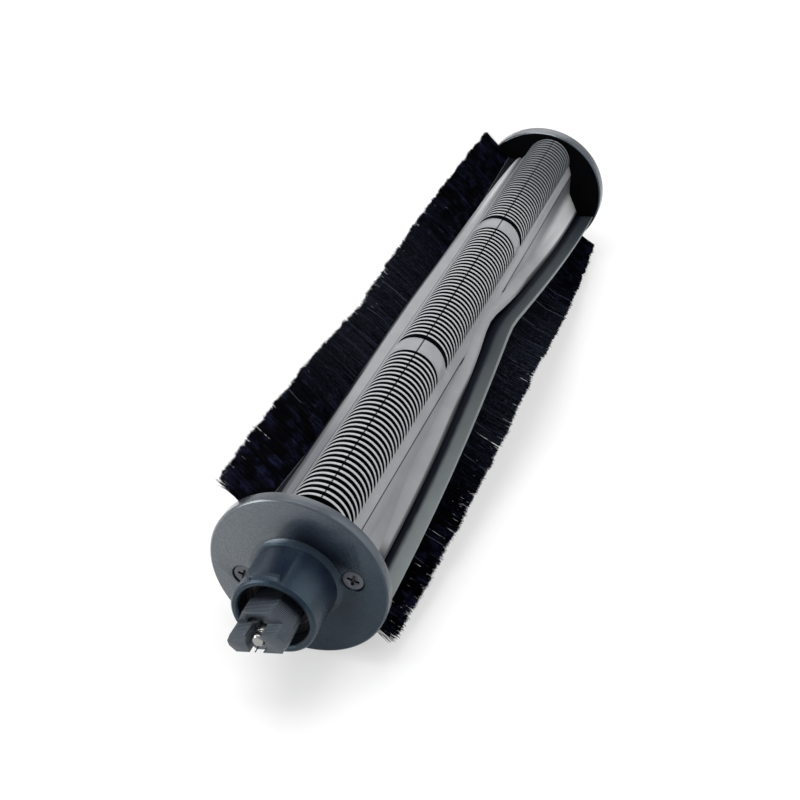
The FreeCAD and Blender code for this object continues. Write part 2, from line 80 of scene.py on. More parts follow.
class Wire:
    """A shader socket. Arithmetic on it adds Math nodes to its material."""

    def __init__(self, tree, socket=None):
        self.tree = tree
        self.socket = socket

    def node(self, kind, settings=None, inputs=None, output=0):
        """Any other node: its settings are set first, then the values or links of its sockets."""
        made = self.tree.nodes.new("ShaderNode" + kind)
        for name, value in (settings or {}).items():
            setattr(made, name, value)
        paint(made, inputs or {})
        return Wire(self.tree, made.outputs[output])

    def maths(self, operation, *values):
        return self.node("Math", {"operation": operation}, dict(enumerate(values)))

    def __add__(self, other):
        return self.maths("ADD", self, other)

    def __sub__(self, other):
        return self.maths("SUBTRACT", self, other)

    def __rsub__(self, other):
        return self.maths("SUBTRACT", other, self)

    def __mul__(self, other):
        return self.maths("MULTIPLY", self, other)

    def __truediv__(self, other):
        return self.maths("DIVIDE", self, other)

    def __abs__(self):
        return self.maths("ABSOLUTE", self)

    def larger(self, other):
        return self.maths("MAXIMUM", self, other)

    def axis(self, letter):
        """The X, Y or Z of the coordinates that this wire carries."""
        return self.node("SeparateXYZ", None, {0: self}, output=letter)

    def fade(self, start, end):
        """0 at start and beyond, 1 at end and beyond, smooth between them."""
        settings = {"interpolation_type": "SMOOTHSTEP"}
        inputs = {"Value": self, "From Min": start, "From Max": end}
        return self.node("MapRange", settings, inputs)

    def between(self, low, high):
        """The number low where this is 0 and high where it is 1."""
        return self * (high - low) + low

    def tint(self, low, high):
        """The colour low where this is 0 and high where it is 1, in a Mix node's sockets 6 and 7."""
        inputs = {"Factor": self, 6: low, 7: high}
        return self.node("Mix", {"data_type": "RGBA"}, inputs, output=2)

    def noise(self, size, detail=2.0, stretch=(1.0, 1.0, 1.0)):
        """Noise of this grain size in metres, on the coordinates that this wire carries."""
        scaled = self.node("VectorMath", {"operation": "MULTIPLY"}, {0: self, 1: stretch})
        return scaled.node("TexNoise", None, {"Vector": scaled, "Scale": 1 / size, "Detail": detail})

    def bump(self, depth):
        return self.node("Bump", None, {"Height": self, "Distance": depth, "Strength": 1.0})


def paint(shader, looks):
    """Link a wire to each of these sockets, or set the socket's value."""
    for name, value in looks.items():
        if isinstance(value, Wire):
            value.tree.links.new(value.socket, shader.inputs[name])
        else:
            shader.inputs[name].default_value = value


def new_finish(name):
    """A material, its shader and a wire that carries the piece's own coordinates."""
    material = bpy.data.materials.new(name)
    material.use_nodes = True
    tree = material.node_tree
    shader = tree.nodes["Principled BSDF"]
    place = Wire(tree).node("TexCoord", output="Object")
    return material, shader, place


def seen_share(tree, glossy_share):
    """1 for rays straight from the camera and glossy_share for rays by gloss or glass, else 0."""
    rays = tree.nodes.new("ShaderNodeLightPath")
    straight, glossy, clear = (
        Wire(tree, rays.outputs[name])
        for name in ("Is Camera Ray", "Is Glossy Ray", "Is Transmission Ray")
    )
    return straight.maths("MINIMUM", straight + (glossy + clear) * glossy_share, 1.0)


bpy.ops.mesh.primitive_plane_add(size=floor_size, location=(0.0, 0.0, floor_height))
floor = bpy.context.object
floor.name = "table_top"

table_finish, table_shader, table_place = new_finish("white_table")
table_tree = table_finish.node_tree
paint(table_shader, {
    "Base Color": table_grey,
    "Roughness": table_roughness,
    "Specular IOR Level": table_specular,
})
table_seen = seen_share(table_tree, table_glossy_share)
table_far = table_place.node("VectorMath", {"operation": "LENGTH"}, {0: table_place}, output="Value")
table_white = table_far.fade(table_lit_reach, table_white_reach).between(table_white_share, 1.0)
table_lit = Wire(table_tree, table_shader.outputs[0])
table_glow = table_seen.node("Emission", None, {"Color": white, "Strength": 1.0})
table_mix = table_seen.node(
    "MixShader", None, {0: table_seen * table_white, 1: table_lit, 2: table_glow}
)
paint(table_tree.nodes["Material Output"], {"Surface": table_mix})
floor.data.materials.append(table_finish)

world = bpy.data.worlds.new("light_tent")
world.use_nodes = True
scene.world = world
tent_strength = seen_share(world.node_tree, tent_glossy_share).between(tent_light, 1.0)
paint(world.node_tree.nodes["Background"], {"Color": white, "Strength": tent_strength})


def soft_box(name, place, aim, size, watts):
    """A square diffuser that shines from its place towards a point."""
    bpy.ops.object.light_add(type="AREA", location=place)
    lamp = bpy.context.object
    lamp.name = name
    lamp.data.size = size
    lamp.data.energy = watts
    direction = Vector(aim) - Vector(place)
    lamp.rotation_euler = direction.to_track_quat("-Z", "Y").to_euler()


soft_box("top_soft_box", place=(-0.155, -0.06, 0.69), aim=(0.0, 0.0, 0.0), size=0.5, watts=4.3)
soft_box("right_soft_box", place=(0.55, 0.16, 0.36), aim=(0.0, 0.02, 0.0), size=0.8, watts=2.8)
soft_box("front_soft_box", place=(-0.45, -0.42, 0.16), aim=(0.0, -0.08, 0.0), size=0.3, watts=1.6)
soft_box("back_soft_box", place=(-0.15, 0.75, 0.50), aim=(0.0, 0.0, 0.0), size=0.6, watts=1.0)


# Core halves
# Two identical mouldings in grey glass filled nylon, joined along the crown of the ribs. The ribs
# stand up as thin fins, and each shows a fine dark line where the halves meet. Painted shade
# darkens the gaps, a line under each ledge, the lip edges and the slots beside the lips, and
# painted light makes the rib tops and far lobes pale.

body_middle = 0.003825
crown_lean = math.radians(12.2)
oval_half_width = 0.0062
oval_half_height = 0.0066
oval_middle = 0.0105
oval_foot = -0.00005
oval_tolerance = 0.003
level_tolerance = 0.00001
crown_cuts = 2
weld_reach = 0.000002
flat_angle = math.radians(0.5)
sharp_angle = math.radians(35.0)
core_edge = 0.00006

core_grey = (0.215, 0.222, 0.235, 1.0)
core_grey_worn = (0.33, 0.34, 0.355, 1.0)
# Painted highlight along the rib tops.
rib_highlight_pale = (0.42, 0.43, 0.44, 1.0)
# Painted shade on the ribs at the far end.
rib_far_shade_grey = (0.13, 0.14, 0.15, 1.0)
# Painted shade in the gaps and slots, and the joint's dark line; less deep at the far end.
shade_and_joint_black = (0.001, 0.001, 0.002, 1.0)
far_shade_and_joint_grey = (0.03, 0.034, 0.04, 1.0)
# Painted light on the far lobes and painted shade on the far walls.
far_lobe_painted_light = (0.58, 0.59, 0.60, 1.0)
far_wall_painted_shade = (0.10, 0.105, 0.115, 1.0)
# Painted shade on the lips' tops towards the idle end.
lip_shade_grey = (0.115, 0.12, 0.135, 1.0)

# A pair is where a fade starts and ends: a reach is measured along the brush, a side from the
# plane where the halves meet, and a radius from the axis.
rib_surface = 0.9982
gap_depth = 0.987
gap_rise = 0.12
rib_rise = 0.1
joint_line = (0.00024, 0.00008)
joint_line_rise = (0.1, 0.2)
band_offset = 0.0303
band_half = 0.0027
band_blur = 0.0002
rib_light_reach = (0.10, 0.01)
rib_light_share = 0.7
far_reach = (0.040, 0.075)
far_wall_inner = (0.0071, 0.0075)
far_wall_outer = (0.0088, 0.0080)
far_lobe_side = (0.0082, 0.0094)
lip_hand = (0.0, 0.00001)
lip_top_side = (0.0074, 0.0078)
lip_top_reach = (-0.036, -0.058)
lip_top_share = 0.85
lip_shade_side = (0.0100, 0.0106)
lip_shade_reach = (-0.02, -0.03)
lip_shade_share = 0.97
lip_edge_radius = (0.0118, 0.0124)
lip_edge_side = (0.0102, 0.0112)
lip_edge_share = 0.93
ledge_line_height = 0.00758
ledge_line = (0.00030, 0.00010)
ledge_line_side = 0.0075
ledge_line_half = (0.0003, 0.0002)
ledge_line_share = 0.9
core_cloud_size = 0.006
core_cloud_share = 0.75
core_grain_size = 0.00022
core_grain_depth = 0.000006
core_speck_size = 0.0011
core_speck_range = (0.66, 0.74)
core_speck_share = 0.5
core_roughness = (0.44, 0.56)
core_coat = 0.5


def pick(piece):
    """Select this piece alone and make it the active one."""
    bpy.ops.object.select_all(action="DESELECT")
    piece.select_set(True)
    bpy.context.view_layer.objects.active = piece


def merged_copy(node, name):
    """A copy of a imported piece, with its loose triangles merged into flat faces."""
    piece = bpy.data.objects.new(name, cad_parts[node].data.copy())
    scene.collection.objects.link(piece)
    pick(piece)
    bpy.ops.object.mode_set(mode="EDIT")
    bpy.ops.mesh.select_all(action="SELECT")
    bpy.ops.mesh.remove_doubles(threshold=weld_reach)
    bpy.ops.mesh.dissolve_limited(angle_limit=flat_angle)
    bpy.ops.mesh.select_all(action="DESELECT")
    bpy.ops.object.mode_set(mode="OBJECT")
    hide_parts(node)
    return piece


def round_edges(piece, width, segments=2):
    """Round every sharp edge of this piece."""
    rounding = piece.modifiers.new("rounded_edges", "BEVEL")
    rounding.width = width
    rounding.segments = segments
    rounding.limit_method = "ANGLE"
    rounding.angle_limit = sharp_angle
    rounding.use_clamp_overlap = True
    pick(piece)
    bpy.ops.object.modifier_apply(modifier="rounded_edges")
    bpy.ops.object.shade_smooth_by_angle(angle=sharp_angle)


def finish_with(piece, material, body):
    """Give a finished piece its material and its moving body."""
    piece.data.materials.clear()
    piece.data.materials.append(material)
    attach(piece, body)


def oval_place(point):
    """Where a point lies beside and above the ribs' oval, and its distance, 1 on the oval."""
    side = point.x * math.cos(crown_lean) - point.z * math.sin(crown_lean)
    rise = point.x * math.sin(crown_lean) + point.z * math.cos(crown_lean)
    sign = math.copysign(1.0, rise)
    above = abs(rise) - oval_middle
    return side, sign, above, math.hypot(side / oval_half_width, above / oval_half_height)


def round_crowns(piece):
    """Divide the flats of every rib's crown and move the new corners out onto the oval."""
    pick(piece)
    mesh = piece.data
    on_oval = []
    for vertex in mesh.vertices:
        above, distance = oval_place(vertex.co)[2:]
        on_oval.append(above > oval_foot and abs(distance - 1.0) < oval_tolerance)
    for edge in mesh.edges:
        first, second = edge.vertices
        step = abs(mesh.vertices[first].co.y - mesh.vertices[second].co.y)
        edge.select = on_oval[first] and on_oval[second] and step < level_tolerance
    old_count = len(mesh.vertices)
    bpy.ops.object.mode_set(mode="EDIT")
    bpy.ops.mesh.select_mode(type="EDGE")
    bpy.ops.mesh.subdivide(number_cuts=crown_cuts)
    bpy.ops.mesh.select_mode(type="VERT")
    bpy.ops.mesh.select_all(action="DESELECT")
    bpy.ops.object.mode_set(mode="OBJECT")
    for vertex in mesh.vertices[old_count:]:
        side, sign, above, distance = oval_place(vertex.co)
        side /= distance
        rise = sign * (oval_middle + above / distance)
        vertex.co.x = side * math.cos(crown_lean) + rise * math.sin(crown_lean)
        vertex.co.z = rise * math.cos(crown_lean) - side * math.sin(crown_lean)


def span(across, up):
    """How far a place with these two measures lies from zero."""
    squares = across * across + up * up
    return squares.maths("SQRT", squares)


core_finish, core_shader, core_place = new_finish("moulded_core_grey")
core_x, core_y, core_z = (core_place.axis(letter) for letter in "XYZ")
core_side = core_x * math.cos(crown_lean) - core_z * math.sin(crown_lean)
core_rise = core_x * math.sin(crown_lean) + core_z * math.cos(crown_lean)
core_above = (abs(core_rise) - oval_middle) / oval_half_height
core_distance = span(core_side / oval_half_width, core_above)
off_joint = abs(core_side)
core_cloud = core_place.noise(core_cloud_size, detail=3.0)
core_grain = core_place.noise(core_grain_size)
core_specks = core_place.noise(core_speck_size, detail=4.0).fade(*core_speck_range)
core_wear = core_cloud * core_cloud_share + core_specks * core_speck_share
core_plain = core_wear.tint(core_grey, core_grey_worn)

# Painted light and shade, each laid over the last: shade on the far walls, light on the far lobes,
# a highlight on the rib tops, shade on the lips' tops towards the idle end and shade on the far ribs.
core_far = core_y.fade(*far_reach)
far_wall = core_far * off_joint.fade(*far_wall_inner) * off_joint.fade(*far_wall_outer)
far_lobe = core_far * off_joint.fade(*far_lobe_side)
core_walls = far_lobe.tint(far_wall.tint(core_plain, far_wall_painted_shade), far_lobe_painted_light)
off_band = abs(abs(core_y - body_middle) - band_offset).fade(band_half, band_half + band_blur)
on_rib = core_distance.fade(gap_depth, rib_surface) * core_above.fade(0.0, rib_rise) * off_band
rib_light = on_rib * core_y.fade(*rib_light_reach)
core_ribs = (rib_light * rib_light_share).tint(core_walls, rib_highlight_pale)
on_lip = (core_side * core_rise * -1).fade(*lip_hand)
lip_top = on_lip * off_joint.fade(*lip_top_side) * core_y.fade(*lip_top_reach)
core_lips = (lip_top * lip_top_share).tint(core_ribs, lip_shade_grey)
core_tone = (on_rib * core_far).tint(core_lips, rib_far_shade_grey)

# Painted shade in the gaps, a line under the ledges, the slots beside the lips and the lip edges,
# with the joint's dark line.
in_gap = core_distance.fade(rib_surface, gap_depth) * core_above.fade(0.0, gap_rise)
in_joint = off_joint.fade(*joint_line) * core_above.fade(*joint_line_rise)
off_ledge_line = abs(abs(core_rise) - ledge_line_height)
off_ledge_side = abs(off_joint - ledge_line_side)
in_ledge_shadow = off_ledge_line.fade(*ledge_line) * off_ledge_side.fade(*ledge_line_half)
in_lip_shade = off_joint.fade(*lip_shade_side) * on_lip * core_y.fade(*lip_shade_reach)
in_lip_edge_shade = span(core_x, core_z).fade(*lip_edge_radius) * off_joint.fade(*lip_edge_side)
core_painted_shade_and_joint = in_gap.larger(in_joint).larger(in_ledge_shadow * ledge_line_share)
core_painted_shade_and_joint = core_painted_shade_and_joint.larger(in_lip_shade * lip_shade_share).larger(in_lip_edge_shade * lip_edge_share)
core_shade_and_joint_colour = core_far.tint(shade_and_joint_black, far_shade_and_joint_grey)

paint(core_shader, {
    "Base Color": core_painted_shade_and_joint.tint(core_tone, core_shade_and_joint_colour),
    "Roughness": core_grain.between(*core_roughness),
    "Specular IOR Level": 0.05,
    "Coat Weight": (1 - in_gap) * core_coat,
    "Coat Roughness": 0.30,
    "Normal": core_grain.bump(core_grain_depth),
})

for side in ("right", "left"):
    core = merged_copy("core_half_" + side, "ribbed_core_" + side)
    round_crowns(core)
    round_edges(core, core_edge, segments=1)
    finish_with(core, core_finish, "roller")


# Strip carriers
# Stiff black extrusions that slide into the V grooves and grip blade and bristles. Only their
# outer edges show between the lips, with a painted highlight along them in pale patches.

carrier_black = (0.003, 0.003, 0.006, 1.0)
carrier_worn = (0.008, 0.009, 0.012, 1.0)
carrier_edge_highlight = (0.24, 0.245, 0.25, 1.0)
carrier_cloud_size = 0.002
carrier_highlight_side = (0.01128, 0.01137)
carrier_highlight_size = 0.0015
carrier_highlight_shares = (0.4, 1.1)
carrier_edge = 0.00008

carrier_finish, carrier_shader, carrier_place = new_finish("black_carrier_plastic")
carrier_x = carrier_place.axis("X")
carrier_z = carrier_place.axis("Z")
carrier_side = carrier_x * math.cos(crown_lean) - carrier_z * math.sin(crown_lean)
carrier_plain = carrier_place.noise(carrier_cloud_size).tint(carrier_black, carrier_worn)
carrier_highlight_patches = carrier_place.noise(carrier_highlight_size).between(*carrier_highlight_shares)
# Painted highlight along the outer edges.
carrier_edge_lit = abs(carrier_side).fade(*carrier_highlight_side) * carrier_highlight_patches
paint(carrier_shader, {
    "Base Color": carrier_edge_lit.tint(carrier_plain, carrier_edge_highlight),
    "Roughness": 0.6,
    "Specular IOR Level": 0.06,
})

for side in ("right", "left"):
    carrier = merged_copy("strip_carrier_" + side, "v_carrier_" + side)
    round_edges(carrier, carrier_edge)
    finish_with(carrier, carrier_finish, "roller")


# Rubber blades
# Soft grey green wipers, moulded with a thin tip that has rounded by use and caught a little dust.
# They stand in the carriers. Painted shade darkens their roots in the slot, and darkens them
# towards the far end.

blade_green = (0.125, 0.142, 0.146, 1.0)
blade_green_pale = (0.17, 0.187, 0.19, 1.0)
blade_far_shade_green = (0.018, 0.024, 0.030, 1.0)
blade_root_shade_black = (0.003, 0.004, 0.008, 1.0)
blade_dust = (0.18, 0.195, 0.20, 1.0)
blade_cloud_size = 0.004
blade_far_shade_reach = (-0.085, 0.012)
blade_dust_size = 0.0012
blade_dust_shares = (0.5, 1.1)
blade_streak_size = 0.0006
blade_streak_stretch = (1.0, 0.08, 1.0)
blade_streak_depth = 0.00001
blade_roughness = (0.4, 0.6)
blade_coat = 0.35
blade_tip_radius = (0.01700, 0.01730)
blade_root_shade_radius = (0.0151, 0.0138)
blade_root_waver = 0.0004
blade_edge = 0.00018

blade_finish, blade_shader, blade_place = new_finish("blade_rubber_green_grey")
blade_reach = span(blade_place.axis("X"), blade_place.axis("Z"))
blade_fresh = blade_place.noise(blade_cloud_size, detail=3.0).tint(blade_green, blade_green_pale)
# Painted shade, darker towards the far end.
blade_far_shade = blade_place.axis("Y").fade(*blade_far_shade_reach)
blade_streaks = blade_place.noise(blade_streak_size, stretch=blade_streak_stretch)
blade_dusty = blade_place.noise(blade_dust_size).between(*blade_dust_shares)
blade_worn = blade_reach.fade(*blade_tip_radius) * blade_dusty
# Painted shade over the roots, deep in the slot.
blade_root_shade = (blade_reach + blade_streaks * blade_root_waver).fade(*blade_root_shade_radius)
blade_clean = blade_root_shade.tint(blade_far_shade.tint(blade_fresh, blade_far_shade_green), blade_root_shade_black)
paint(blade_shader, {
    "Base Color": blade_worn.tint(blade_clean, blade_dust),
    "Roughness": blade_streaks.between(*blade_roughness),
    "Specular IOR Level": 0.05,
    "Coat Weight": (1 - blade_root_shade) * blade_coat,
    "Coat Roughness": 0.4,
    "Normal": blade_streaks.bump(blade_streak_depth),
})

for side in ("right", "left"):
    blade = merged_copy("rubber_blade_" + side, "wiper_" + side)
    round_edges(blade, blade_edge)
    finish_with(blade, blade_finish, "roller")


# Bristle strips
# Thousands of black nylon fibres, gripped by the carrier and trimmed to one radius. They gather in
# small tufts, part in a few places where the table shows through, and thin out at the idle end.

half_length = 0.087
groove_rise = 0.0123
fibre_root = (0.0112, -0.00665)
fibre_layer = 0.0010
fibre_end_lean = 38.6
fibre_middle_lean = 27.5
fibre_lean_spread = 0.022
fibre_sweep_spread = 0.00042
fibre_bend_spread = 0.00024
fibre_width = 0.00017
fibre_knee = 0.6
fibre_foot = 0.01
fibre_count = 11000
idle_start = 0.0017
drive_start = 0.0003
idle_overhang = 0.0006
tuft_count = 200
tuft_sizes = (0.0008, 0.0034)
tuft_pulls = (0.0, 0.20)
tuft_trims = (-0.00035, 0.00010)
tuft_tilts = (-0.03, 0.03)
trim_spread = 0.00022
short_share = 0.10
short_cut = 0.0014
thin_end_length = 0.0045
thin_end_share = 0.8
thin_end_cut = 0.0032
stray_share = 0.10
stray_trims = (-0.0004, 0.0001)
stray_sweep_spread = 0.0012
fibre_shade_share = 0.65
tuft_shade_share = 0.2
curtains = {
    "right": {
        "turn": crown_lean,
        "seed": 11,
        "trim_radius": 0.02275,
        "curl": 0.20,
        "glint_share": 0.007,
        "parting_slant": -1.36,
        "partings": ((-0.0615, 0.00010), (-0.0283, 0.00018), (0.0120, 0.00006), (0.0570, 0.00008)),
    },
    "left": {
        "turn": crown_lean + math.pi,
        "seed": 23,
        "trim_radius": 0.02305,
        "curl": 0.09,
        "glint_share": 0.003,
        "parting_slant": 1.36,
        "partings": ((-0.0655, 0.00024), (-0.0170, 0.00008), (0.0288, 0.00026), (0.0404, 0.00016)),
    },
}

fibre_black = (0.0005, 0.0005, 0.0010, 1.0)
fibre_highlight_blue = (0.026, 0.029, 0.082, 1.0)
fibre_middle_sheen_blue = (0.050, 0.062, 0.098, 1.0)
fibre_glint_pale = (0.12, 0.13, 0.18, 1.0)
fibre_glint_range = (0.92, 0.97)
bristle_patch_size = 0.0032
bristle_patch_range = (0.46, 0.62)
bristle_patch_shares = (0.07, 1.0)
bristle_glint_size = 0.0005
bristle_glint_range = (0.45, 0.68)
bristle_glint_share = 0.35
bristle_fibre_share = 0.9
bristle_middle_reach = (0.058, 0.020)
bristle_middle_share = 0.8

bpy.ops.object.select_all(action="DESELECT")
bpy.ops.mesh.primitive_cone_add(
    vertices=3, radius1=fibre_width / 2, radius2=fibre_width / 4, depth=1.0, location=(0.0, 0.0, 0.5),
)
fibre = bpy.context.object
bpy.ops.object.mode_set(mode="EDIT")
bpy.ops.mesh.select_all(action="SELECT")
bpy.ops.mesh.bisect(plane_co=(0.0, 0.0, fibre_knee), plane_no=(0.0, 0.0, 1.0))
bpy.ops.object.mode_set(mode="OBJECT")
bpy.ops.object.transform_apply(location=True, rotation=True, scale=True)
fibre_points = np.array([vertex.co for vertex in fibre.data.vertices])
fibre_faces = [tuple(face.vertices) for face in fibre.data.polygons if face.center.z > fibre_foot]
bpy.data.objects.remove(fibre, do_unlink=True)


def bristle_curtain(name, turn, seed, trim_radius, curl, glint_share, parting_slant, partings):
    """Lay copies of the one fibre along the V, then turn the whole curtain about the axis."""
    chance = np.random.default_rng(seed)
    start = -half_length + idle_start
    end = half_length - drive_start
    along = start + (end - start) * (np.arange(fibre_count) + chance.random(fibre_count)) / fibre_count
    share = 1 - np.abs(along) / half_length
    edges = start + np.cumsum(chance.uniform(*tuft_sizes, tuft_count))
    edges = np.concatenate([[start], edges])
    tuft = np.searchsorted(edges, along, side="right") - 1
    middle = (edges[tuft] + edges[tuft + 1]) / 2
    pull = chance.uniform(*tuft_pulls, tuft_count + 1)[tuft]
    trim = chance.uniform(*tuft_trims, tuft_count + 1)[tuft]
    tilt = chance.uniform(*tuft_tilts, tuft_count + 1)[tuft]
    tuft_shade = chance.random(tuft_count + 1)[tuft]

    # Each fibre's root, its lean, and its length as far as the trimmed radius.
    even_lean = np.radians(fibre_end_lean + (fibre_middle_lean - fibre_end_lean) * share)
    lean = even_lean + tilt + chance.normal(0.0, fibre_lean_spread, fibre_count)
    layer = fibre_layer * chance.random(fibre_count)
    root_height = groove_rise * share + fibre_root[1] + layer
    root = np.stack([np.full(fibre_count, fibre_root[0]), root_height], axis=1)
    reach = np.stack([np.cos(lean), -np.sin(lean)], axis=1)
    radius = trim_radius + trim + chance.normal(0.0, trim_spread, fibre_count)
    short = chance.random(fibre_count) < short_share
    radius -= short * chance.uniform(0.0, short_cut, fibre_count)
    thin = np.clip(1 - (along - start) / thin_end_length, 0.0, 1.0)
    thinned = chance.random(fibre_count) < thin * thin_end_share
    radius -= thinned * chance.uniform(0.0, thin_end_cut, fibre_count)
    stray = chance.random(fibre_count) < stray_share
    radius += stray * chance.uniform(*stray_trims, fibre_count)
    chord = reach + curl * np.stack([-reach[:, 1], reach[:, 0]], axis=1)
    ahead = np.sum(root * chord, axis=1)
    stretch = 1 + curl ** 2
    beyond = radius ** 2 - np.sum(root * root, axis=1)
    length = (np.sqrt(ahead ** 2 + stretch * beyond) - ahead) / stretch

    # How far each tip is swept along the strip, by its tuft, by chance and off the partings.
    sweep = (middle - along) * pull + chance.normal(0.0, fibre_sweep_spread, fibre_count)
    sweep += stray * chance.normal(0.0, stray_sweep_spread, fibre_count)
    bend = chance.normal(0.0, fibre_bend_spread, fibre_count)
    root_rise = layer * np.cos(even_lean)
    tip_rise = root_rise - (lean - even_lean) * length + bend
    for place, opening in partings:
        hand = np.where(along > place + parting_slant * root_rise, 1.0, -1.0)
        tip_away = along + sweep - place - parting_slant * tip_rise
        opened = hand * np.maximum(hand * tip_away, opening)
        sweep += np.where(stray, 0.0, opened - tip_away)
    sweep = np.clip(sweep, start - idle_overhang - along, end - along)

    # The fibre's own points, stretched to length, curled, swept and turned into place.
    height = fibre_points[None, :, 2]
    across = fibre_points[None, :, 0] + along[:, None] + height ** 2 * sweep[:, None]
    outward = height * length[:, None]
    curled = fibre_points[None, :, 1] + height ** 2 * (bend + curl * length)[:, None]
    x = root[:, 0, None] + outward * reach[:, 0, None] - curled * reach[:, 1, None]
    z = root[:, 1, None] + outward * reach[:, 1, None] + curled * reach[:, 0, None]
    laid = np.stack([
        x * math.cos(turn) + z * math.sin(turn),
        across + body_middle,
        z * math.cos(turn) - x * math.sin(turn),
    ], axis=2)
    step = len(fibre_points)
    faces = [
        tuple(corner + number * step for corner in face)
        for number in range(fibre_count)
        for face in fibre_faces
    ]
    mesh = bpy.data.meshes.new(name)
    mesh.from_pydata(laid.reshape(-1, 3).tolist(), [], faces)

    # Each fibre's painted highlight, by chance and by tuft; a few fibres get a full painted glint.
    shades = fibre_shade_share * chance.random(fibre_count) ** 4 + tuft_shade_share * tuft_shade ** 3
    shades = np.where(chance.random(fibre_count) < glint_share, 1.0, shades)
    shade = mesh.attributes.new("fibre_highlight", "FLOAT", "POINT")
    shade.data.foreach_set("value", np.repeat(shades.astype(np.float32), step))
    curtain = bpy.data.objects.new(name, mesh)
    scene.collection.objects.link(curtain)
    pick(curtain)
    bpy.ops.object.mode_set(mode="EDIT")
    bpy.ops.mesh.select_all(action="SELECT")
    bpy.ops.mesh.normals_make_consistent(inside=False)
    bpy.ops.object.mode_set(mode="OBJECT")
    return curtain


# Black fibres with painted light: highlight streaks by fibre and tuft, lit patches, glints, a paler
# sheen towards the middle of the strip and a few glinting fibres.
bristle_finish, bristle_shader, bristle_place = new_finish("black_nylon_fibre")
fibre_highlight = bristle_place.node("Attribute", {"attribute_name": "fibre_highlight"}, output="Fac")
bristle_patch = bristle_place.noise(bristle_patch_size, detail=3.0).fade(*bristle_patch_range)
bristle_glint = bristle_place.noise(bristle_glint_size).fade(*bristle_glint_range)
bristle_middle_sheen = abs(bristle_place.axis("Y") - body_middle).fade(*bristle_middle_reach)
bristle_lit = bristle_patch.between(*bristle_patch_shares)
bristle_lit = bristle_lit.larger(bristle_middle_sheen * bristle_middle_share)
bristle_light = fibre_highlight * bristle_fibre_share + bristle_glint * bristle_glint_share
bristle_light = bristle_light * bristle_lit
bristle_blue = bristle_middle_sheen.tint(fibre_highlight_blue, fibre_middle_sheen_blue)
bristle_dull = bristle_light.tint(fibre_black, bristle_blue)
paint(bristle_shader, {
    "Base Color": fibre_highlight.fade(*fibre_glint_range).tint(bristle_dull, fibre_glint_pale),
    "Roughness": 0.5,
    "Specular IOR Level": 0.02,
})

for side in ("right", "left"):
    curtain = bristle_curtain("bristles_" + side, **curtains[side])
    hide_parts("bristle_strip_" + side)
    finish_with(curtain, bristle_finish, "roller")


# End caps
# Slate nylon mouldings, screwed to the core's ends. Spark eroded mould faces give discs and collar
# a fine satin grain, the rims are worn a little lighter, and a short raised bar follows the
# collar's curve behind its mouth. Painted shade darkens the collar, a patch of disc beside it and
# a ring round each screw head, and a painted sheen makes the discs glossier towards the upper left.

cap_slate = (0.009, 0.014, 0.026, 1.0)
cap_slate_light = (0.019, 0.027, 0.040, 1.0)
cap_rim_worn = (0.045, 0.050, 0.060, 1.0)
# Painted shade on the collar.
collar_shade_slate = (0.004, 0.008, 0.018, 1.0)
cap_shade_black = (0.0012, 0.0015, 0.0050, 1.0)
cap_gloss_blue = (0.58, 0.84, 1.0, 1.0)
cap_grain_size = 0.00028
cap_grain_share = 0.6
cap_cloud_size = 0.004
cap_cloud_share = 0.4
cap_slate_range = (0.35, 0.65)
cap_rim_radius = (0.01755, 0.01785)
cap_rim_shares = (0.4, 1.2)
cap_sheen_rise = 0.4
cap_sheen_slope = (-0.017, 0.018)
cap_sheen_radius = (0.0086, 0.0100)
cap_coat_shares = (0.25, 1.15)
cap_roughness = (0.14, 0.28)
cap_relief = 0.000060
collar_tone_radius = (0.0092, 0.0085)
collar_tone_share = 0.75
collar_shadow_radius = (0.0150, 0.0092)
collar_shadow_rise = 0.6
collar_shadow_slope = (0.000, 0.009)
collar_shadow_gloss_loss = 0.7
ring_distance = (0.00246, 0.00236)
ring_reach = (0.0, 0.001)
ring_share = 0.9
ring_depth = 2.5
cap_edge = 0.00012
screw_places = ((-1.0, 0.011113, 0.002662), (1.0, 0.008691, -0.002391))
collar_radius = 0.0084
collar_bar_place = -0.09535
collar_bar_size = (0.0060, 0.0015, 0.0010)
collar_bar_turn = math.radians(-12.0)
collar_bar_cuts = 11
collar_bar_edge = 0.00022

cap_finish, cap_shader, cap_place = new_finish("grained_slate_plastic")
cap_x, cap_y, cap_z = (cap_place.axis(letter) for letter in "XYZ")
cap_reach = span(cap_x, cap_z)
cap_grain = cap_place.noise(cap_grain_size, detail=3.0)
cap_cloud = cap_place.noise(cap_cloud_size)
cap_mix = (cap_grain * cap_grain_share + cap_cloud * cap_cloud_share).fade(*cap_slate_range)
cap_rim = cap_reach.fade(*cap_rim_radius) * cap_cloud.between(*cap_rim_shares)
on_collar = cap_reach.fade(*collar_tone_radius)
# Painted shadow on the disc beside the collar's root, towards +x and up, with less gloss.
in_collar_shadow = cap_reach.fade(*collar_shadow_radius) * (cap_x + cap_z * collar_shadow_rise).fade(*collar_shadow_slope)
cap_plain = cap_mix.tint(cap_slate, cap_slate_light)
cap_body = (on_collar * collar_tone_share).tint(cap_plain, collar_shade_slate)
cap_clean = (in_collar_shadow * (1 - on_collar)).tint(cap_body, cap_shade_black)
cap_tone = cap_rim.tint(cap_clean, cap_rim_worn)
# Painted sheen: the coat is glossier towards the upper left, off the collar.
cap_sheen_side = (cap_z * cap_sheen_rise - cap_x).fade(*cap_sheen_slope)
cap_sheen_side = cap_sheen_side * cap_reach.fade(*cap_sheen_radius)
cap_painted_sheen = cap_sheen_side * (1 - in_collar_shadow * collar_shadow_gloss_loss)

